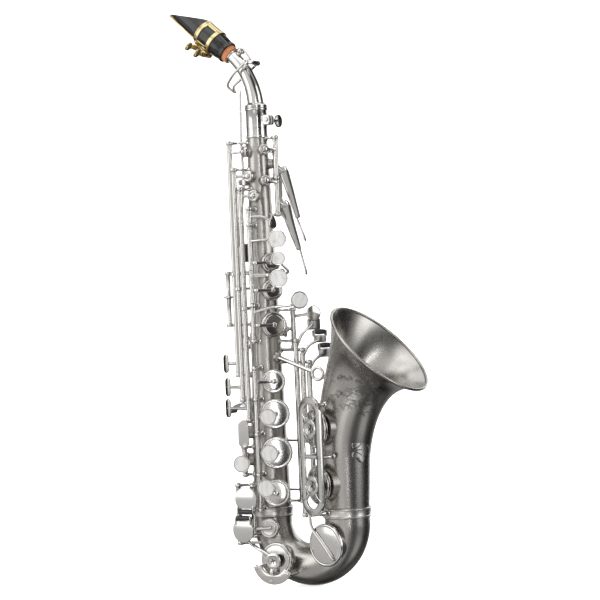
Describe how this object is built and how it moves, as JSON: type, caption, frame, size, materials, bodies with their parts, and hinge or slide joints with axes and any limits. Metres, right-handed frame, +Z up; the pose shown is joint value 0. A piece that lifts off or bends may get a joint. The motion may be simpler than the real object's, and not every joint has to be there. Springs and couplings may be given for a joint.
{
  "type": "soprano saxophone",
  "caption": "Curved soprano saxophone with a bow, an upturned bell, a swivelling neck with mouthpiece, and sprung keys on long hinge rods.",
  "frame": {"origin": "centre of the strap ring's hole on the back of the body tube", "axes": "+X from the player towards the bell, +Y to the player's left, +Z up along the body tube"},
  "size_m": [0.2148, 0.0974, 0.4684],
  "materials": {
    "silver_body": "satin silver plate with fine brushing",
    "silver_keys": "bright polished silver plate",
    "steel_rod": "ground steel",
    "cork": "sanded cork",
    "ebonite": "polished hard rubber",
    "cane": "dry cane",
    "gold_plate": "polished gold plate",
    "black_plastic": "moulded, semi gloss",
    "felt": "pressed felt",
    "pad_leather": "thin kid leather",
    "pearl": "polished mother of pearl"
  },
  "bodies": {
    "body": {"body_tube": "silver_body", "bow": "silver_body", "bell": "silver_body", "bow_tone_rings": "silver_body", "bell_tone_rings": "silver_body", "body_bow_ring": "silver_body", "bell_bow_ring": "silver_body", "neck_receiver": "silver_keys", "key_posts": "silver_keys", "hinge_rods": "steel_rod", "strap_ring": "silver_keys", "thumb_hook": "silver_keys", "thumb_rest": "black_plastic", "bell_brace": "silver_keys", "bell_foot_plate": "silver_keys", "bell_key_guard": "silver_keys", "low_c_guard": "silver_keys", "guard_bumpers": "felt"},
    "neck": {"neck": "silver_keys", "neck_cork": "cork"},
    "mouthpiece": {"mouthpiece": "ebonite", "reed": "cane", "ligature": "gold_plate"},
    "b_key": {"b_key": "silver_keys"},
    "bis_key": {"bis_key": "silver_keys"},
    "a_key": {"a_key": "silver_keys"},
    "g_key": {"g_key": "silver_keys"},
    "front_f_key": {"front_f_key": "silver_keys"},
    "f_sharp_cup": {"f_sharp_cup": "silver_keys"},
    "f_key": {"f_key": "silver_keys"},
    "e_key": {"e_key": "silver_keys"},
    "d_key": {"d_key": "silver_keys"},
    "g_sharp_key": {"g_sharp_key": "silver_keys"},
    "high_e_key": {"high_e_key": "silver_keys"},
    "side_c_key": {"side_c_key": "silver_keys"},
    "side_bb_key": {"side_bb_key": "silver_keys"},
    "high_f_sharp_key": {"high_f_sharp_key": "silver_keys"},
    "alt_f_sharp_key": {"alt_f_sharp_key": "silver_keys"},
    "palm_f_key": {"palm_f_key": "silver_keys"},
    "palm_eb_key": {"palm_eb_key": "silver_keys"},
    "palm_d_key": {"palm_d_key": "silver_keys"},
    "body_octave_key": {"body_octave_key": "silver_keys"},
    "low_c_sharp_lever": {"low_c_sharp_lever": "silver_keys"},
    "low_c_sharp_key": {"low_c_sharp_key": "silver_keys"},
    "low_b_key": {"low_b_key": "silver_keys"},
    "low_bb_key": {"low_bb_key": "silver_keys"},
    "low_eb_key": {"low_eb_key": "silver_keys"},
    "low_c_key": {"low_c_key": "silver_keys"},
    "octave_lever": {"octave_lever": "silver_keys"},
    "neck_octave_key": {"neck_octave_key": "silver_keys"},
    "eb_roller": {"eb_roller": "black_plastic"},
    "c_roller": {"c_roller": "black_plastic"},
    "b_roller": {"b_roller": "black_plastic"},
    "bb_roller": {"bb_roller": "black_plastic"},
    "neck_screw": {"neck_screw": "silver_keys"},
    "ligature_screw_front": {"ligature_screw_front": "gold_plate"},
    "ligature_screw_rear": {"ligature_screw_rear": "gold_plate"}
  },
  "joints": [
    {"name": "b_press", "type": "hinge", "parent": "body", "child": "b_key", "pos_m": [0.02018, -0.01949, 0.075], "axis": [0, 0, 1], "range_deg": [0, 9], "stiffness_Nm_per_rad": 0.02, "springref_deg": -28.65},
    {"name": "bis_press", "type": "hinge", "parent": "body", "child": "bis_key", "pos_m": [0.02018, -0.01949, 0.055], "axis": [0, 0, 1], "range_deg": [0, 9], "stiffness_Nm_per_rad": 0.02, "springref_deg": -28.65},
    {"name": "a_press", "type": "hinge", "parent": "body", "child": "a_key", "pos_m": [0.02018, -0.01949, 0.042], "axis": [0, 0, 1], "range_deg": [0, 9], "stiffness_Nm_per_rad": 0.02, "springref_deg": -28.65},
    {"name": "g_press", "type": "hinge", "parent": "body", "child": "g_key", "pos_m": [0.02018, -0.01949, 0.016], "axis": [0, 0, 1], "range_deg": [0, 9], "stiffness_Nm_per_rad": 0.02, "springref_deg": -28.65},
    {"name": "front_f_press", "type": "hinge", "parent": "body", "child": "front_f_key", "pos_m": [0.02018, -0.01949, 0.101], "axis": [0, 0, 1], "range_deg": [0, 8], "stiffness_Nm_per_rad": 0.02, "springref_deg": -28.65},
    {"name": "f_sharp_press", "type": "hinge", "parent": "body", "child": "f_sharp_cup", "pos_m": [0.02298, -0.02476, -0.032], "axis": [0, 0, 1], "range_deg": [0, 9], "stiffness_Nm_per_rad": 0.02, "springref_deg": -28.65},
    {"name": "f_press", "type": "hinge", "parent": "body", "child": "f_key", "pos_m": [0.02298, -0.02476, -0.059], "axis": [0, 0, 1], "range_deg": [0, 9], "stiffness_Nm_per_rad": 0.02, "springref_deg": -28.65},
    {"name": "e_press", "type": "hinge", "parent": "body", "child": "e_key", "pos_m": [0.02298, -0.02476, -0.089], "axis": [0, 0, 1], "range_deg": [0, 9], "stiffness_Nm_per_rad": 0.02, "springref_deg": -28.65},
    {"name": "d_press", "type": "hinge", "parent": "body", "child": "d_key", "pos_m": [0.02298, -0.02476, -0.119], "axis": [0, 0, 1], "range_deg": [0, 9], "stiffness_Nm_per_rad": 0.02, "springref_deg": -28.65},
    {"name": "g_sharp_press", "type": "hinge", "parent": "body", "child": "g_sharp_key", "pos_m": [0.03556, 0.01784, 0.009], "axis": [0, 0, 1], "range_deg": [0, 9], "stiffness_Nm_per_rad": 0.02, "springref_deg": -28.65},
    {"name": "high_e_press", "type": "hinge", "parent": "body", "child": "high_e_key", "pos_m": [0.00043, -0.01286, 0.068], "axis": [0, 0, 1], "range_deg": [-9, 0], "stiffness_Nm_per_rad": 0.02, "springref_deg": 28.65},
    {"name": "side_c_press", "type": "hinge", "parent": "body", "child": "side_c_key", "pos_m": [0.00657, -0.0178, 0.048], "axis": [0, 0, 1], "range_deg": [-9, 0], "stiffness_Nm_per_rad": 0.02, "springref_deg": 28.65},
    {"name": "side_bb_press", "type": "hinge", "parent": "body", "child": "side_bb_key", "pos_m": [0.01301, -0.01997, 0.031], "axis": [0, 0, 1], "range_deg": [-9, 0], "stiffness_Nm_per_rad": 0.02, "springref_deg": 28.65},
    {"name": "high_f_sharp_press", "type": "hinge", "parent": "body", "child": "high_f_sharp_key", "pos_m": [0.00551, -0.01698, -0.074], "axis": [0, 0, 1], "range_deg": [0, 9], "stiffness_Nm_per_rad": 0.02, "springref_deg": -28.65},
    {"name": "alt_f_sharp_press", "type": "hinge", "parent": "body", "child": "alt_f_sharp_key", "pos_m": [0.00551, -0.01698, -0.094], "axis": [0, 0, 1], "range_deg": [0, 9], "stiffness_Nm_per_rad": 0.02, "springref_deg": -28.65},
    {"name": "palm_f_press", "type": "hinge", "parent": "body", "child": "palm_f_key", "pos_m": [0.036, 0, 0.148], "axis": [0, 0, 1], "range_deg": [0, 9], "stiffness_Nm_per_rad": 0.02, "springref_deg": -28.65},
    {"name": "palm_eb_press", "type": "hinge", "parent": "body", "child": "palm_eb_key", "pos_m": [0.036, 0, 0.118], "axis": [0, 0, 1], "range_deg": [0, 9], "stiffness_Nm_per_rad": 0.02, "springref_deg": -28.65},
    {"name": "palm_d_press", "type": "hinge", "parent": "body", "child": "palm_d_key", "pos_m": [0.02673, 0.01483, 0.142], "axis": [0, 0, 1], "range_deg": [0, 9], "stiffness_Nm_per_rad": 0.02, "springref_deg": -28.65},
    {"name": "body_octave_press", "type": "hinge", "parent": "body", "child": "body_octave_key", "pos_m": [0.00996, 0.01221, 0.157], "axis": [0, 0, 1], "range_deg": [-8, 0], "stiffness_Nm_per_rad": 0.02, "springref_deg": 28.65},
    {"name": "low_c_sharp_lever_press", "type": "hinge", "parent": "body", "child": "low_c_sharp_lever", "pos_m": [0.04553, 0.00301, -0.062], "axis": [0, 0, 1], "range_deg": [0, 6], "stiffness_Nm_per_rad": 0.02, "springref_deg": -28.65},
    {"name": "low_c_sharp_press", "type": "hinge", "parent": "body", "child": "low_c_sharp_key", "pos_m": [0.05751, -0.01398, -0.128], "axis": [0, 0, 1], "range_deg": [-9, 0], "stiffness_Nm_per_rad": 0.02, "springref_deg": 28.65},
    {"name": "low_b_press", "type": "hinge", "parent": "body", "child": "low_b_key", "pos_m": [0.04951, 0.006, -0.042], "axis": [0, 0, 1], "range_deg": [0, 4.5], "stiffness_Nm_per_rad": 0.05, "springref_deg": -28.65},
    {"name": "low_bb_press", "type": "hinge", "parent": "body", "child": "low_bb_key", "pos_m": [0.05353, 0.00899, -0.072], "axis": [0, 0, 1], "range_deg": [0, 4.5], "stiffness_Nm_per_rad": 0.05, "springref_deg": -28.65},
    {"name": "low_eb_press", "type": "hinge", "parent": "body", "child": "low_eb_key", "pos_m": [0.01599, -0.02405, -0.136], "axis": [0, 0, 1], "range_deg": [-9, 0], "stiffness_Nm_per_rad": 0.02, "springref_deg": 28.65},
    {"name": "low_c_press", "type": "hinge", "parent": "body", "child": "low_c_key", "pos_m": [-0.00052, -0.019, -0.136], "axis": [0, 0, 1], "range_deg": [0, 5], "stiffness_Nm_per_rad": 0.05, "springref_deg": -28.65},
    {"name": "octave_press", "type": "hinge", "parent": "body", "child": "octave_lever", "pos_m": [0.005, 0, 0.13], "axis": [0, -1, 0], "range_deg": [0, 3], "stiffness_Nm_per_rad": 0.05, "springref_deg": -28.65},
    {"name": "neck_octave_press", "type": "hinge", "parent": "neck", "child": "neck_octave_key", "pos_m": [0.01738, 0, 0.22669], "axis": [0, 1, 0], "range_deg": [0, 9], "stiffness_Nm_per_rad": 0.01, "springref_deg": -28.65},
    {"name": "eb_roller_spin", "type": "hinge", "parent": "low_eb_key", "child": "eb_roller", "pos_m": [0.0125, -0.0304, -0.1339], "axis": [1, 0, 0], "continuous": true},
    {"name": "c_roller_spin", "type": "hinge", "parent": "low_c_key", "child": "c_roller", "pos_m": [0.01046, -0.0314, -0.1388], "axis": [0.9962, -0.0872, 0], "continuous": true},
    {"name": "b_roller_spin", "type": "hinge", "parent": "low_b_key", "child": "b_roller", "pos_m": [0.05422, 0.0277, 0.0066], "axis": [0.4147, 0.91, 0], "continuous": true},
    {"name": "bb_roller_spin", "type": "hinge", "parent": "low_bb_key", "child": "bb_roller", "pos_m": [0.05806, 0.02871, -0.0044], "axis": [0.4147, 0.91, 0], "continuous": true},
    {"name": "neck_swivel", "type": "hinge", "parent": "body", "child": "neck", "pos_m": [0.0195, 0, 0.185], "axis": [0, 0, 1], "range_deg": [-6, 6]},
    {"name": "mouthpiece_tuning", "type": "slide", "parent": "neck", "child": "mouthpiece", "axis": [-0.766, 0, 0.6428], "range_m": [0, 0.004]},
    {"name": "neck_screw_turn", "type": "hinge", "parent": "body", "child": "neck_screw", "pos_m": [0.0309, 0, 0.179], "axis": [0, 1, 0], "continuous": true},
    {"name": "ligature_screw_front_turn", "type": "hinge", "parent": "mouthpiece", "child": "ligature_screw_front", "pos_m": [-0.0334, 0, 0.24331], "axis": [0, 1, 0], "continuous": true},
    {"name": "ligature_screw_rear_turn", "type": "hinge", "parent": "mouthpiece", "child": "ligature_screw_rear", "pos_m": [-0.02574, 0, 0.23688], "axis": [0, 1, 0], "continuous": true}
  ],
  "couplings": [
    {"joint": "low_c_sharp_press", "follows": "low_c_sharp_lever_press", "ratio": -1.5},
    {"joint": "f_sharp_press", "follows": "f_press", "ratio": 1},
    {"joint": "neck_octave_press", "follows": "octave_press", "ratio": 3}
  ]
}
